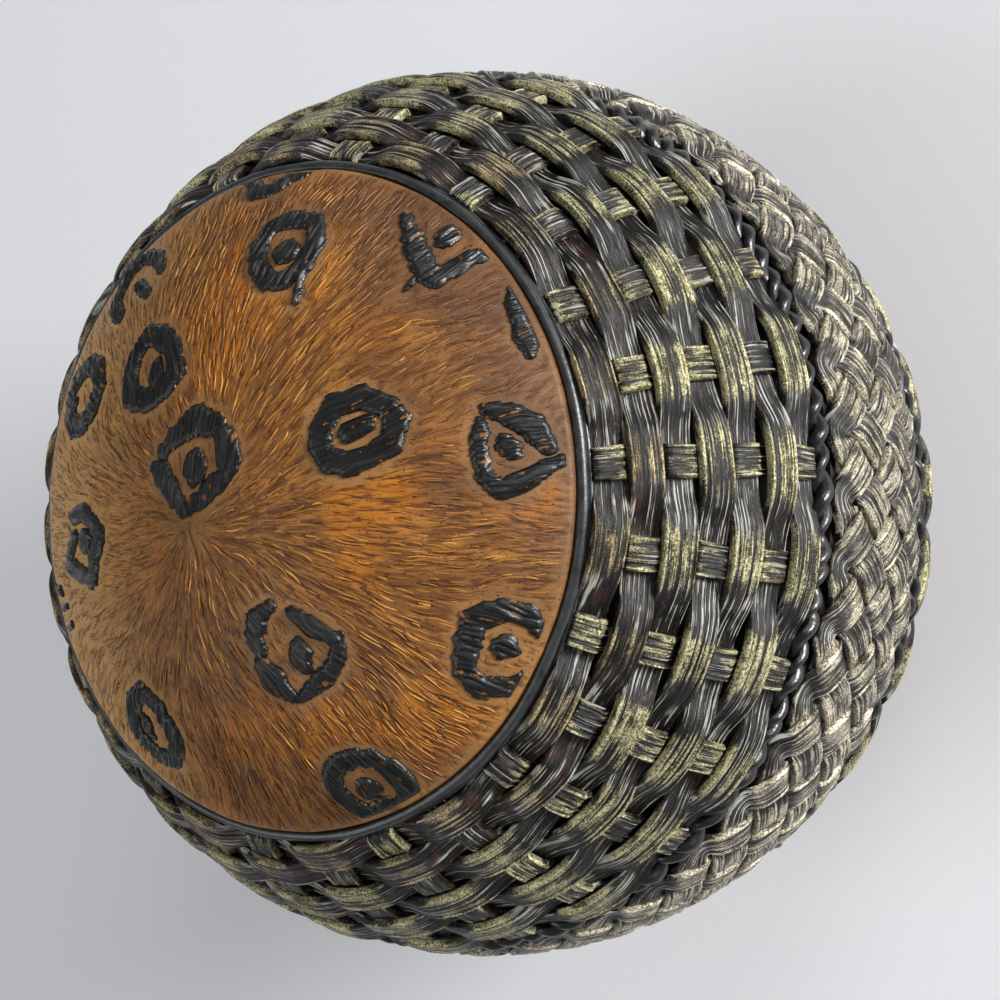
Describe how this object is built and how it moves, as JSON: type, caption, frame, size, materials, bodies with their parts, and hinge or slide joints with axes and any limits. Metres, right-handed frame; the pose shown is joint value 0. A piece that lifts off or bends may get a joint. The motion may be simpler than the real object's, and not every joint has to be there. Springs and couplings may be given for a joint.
{
  "type": "display ball",
  "caption": "Round display ball: hollow core under two spotted hide caps, woven splint bands, twisted cords and a flat plait round the middle.",
  "frame": {"origin": "centre of the ball", "axes": "+Z through the pole of the front hide, the poles' axis; -Y towards the side where a stake of the odd set shows, 4 degrees off"},
  "size_m": [0.0992, 0.0992, 0.0991],
  "materials": {
    "core_resin": "near-black cast resin, seen only in the gaps between the strands",
    "hide": "amber-brown painted resin with short hair grooves, satin, dark wash in the grooves",
    "hide_spots": "charcoal-black semi-gloss paint over hair grooves",
    "edging_cord": "smooth charcoal-black semi-gloss paint",
    "black_cord": "black semi-gloss paint over twisted plies",
    "weaver_splint": "near-black brown, grooved lengthwise, olive-gold dry-brushed crests, semi-gloss",
    "stake_splint": "near-black brown, grooved lengthwise, olive-gold dry-brushed edges, semi-gloss",
    "plait_splint": "near-black brown under heavy pale olive-gold dry-brush, grooved lengthwise"
  },
  "bodies": {
    "root": {"core_back_half": "core_resin", "core_front_half": "core_resin", "hide_back": "hide", "hide_front": "hide", "plait_strand_1": "plait_splint", "plait_strand_2": "plait_splint", "plait_strand_3": "plait_splint", "plait_strand_4": "plait_splint", "plait_strand_5": "plait_splint", "plait_strand_6": "plait_splint", "rim_cord_back": "edging_cord", "rim_cord_front": "edging_cord", "rope_back_strand_1": "black_cord", "rope_back_strand_2": "black_cord", "rope_front_strand_1": "black_cord", "rope_front_strand_2": "black_cord", "spots_back": "hide_spots", "spots_front": "hide_spots", "stakes_back_even": "stake_splint", "stakes_back_odd": "stake_splint", "stakes_front_even": "stake_splint", "stakes_front_odd": "stake_splint", "weaver_back_1": "weaver_splint", "weaver_back_2": "weaver_splint", "weaver_back_3": "weaver_splint", "weaver_back_4": "weaver_splint", "weaver_back_5": "weaver_splint", "weaver_back_6": "weaver_splint", "weaver_back_7": "weaver_splint", "weaver_front_1": "weaver_splint", "weaver_front_2": "weaver_splint", "weaver_front_3": "weaver_splint", "weaver_front_4": "weaver_splint", "weaver_front_5": "weaver_splint", "weaver_front_6": "weaver_splint", "weaver_front_7": "weaver_splint"}
  },
  "joints": []
}
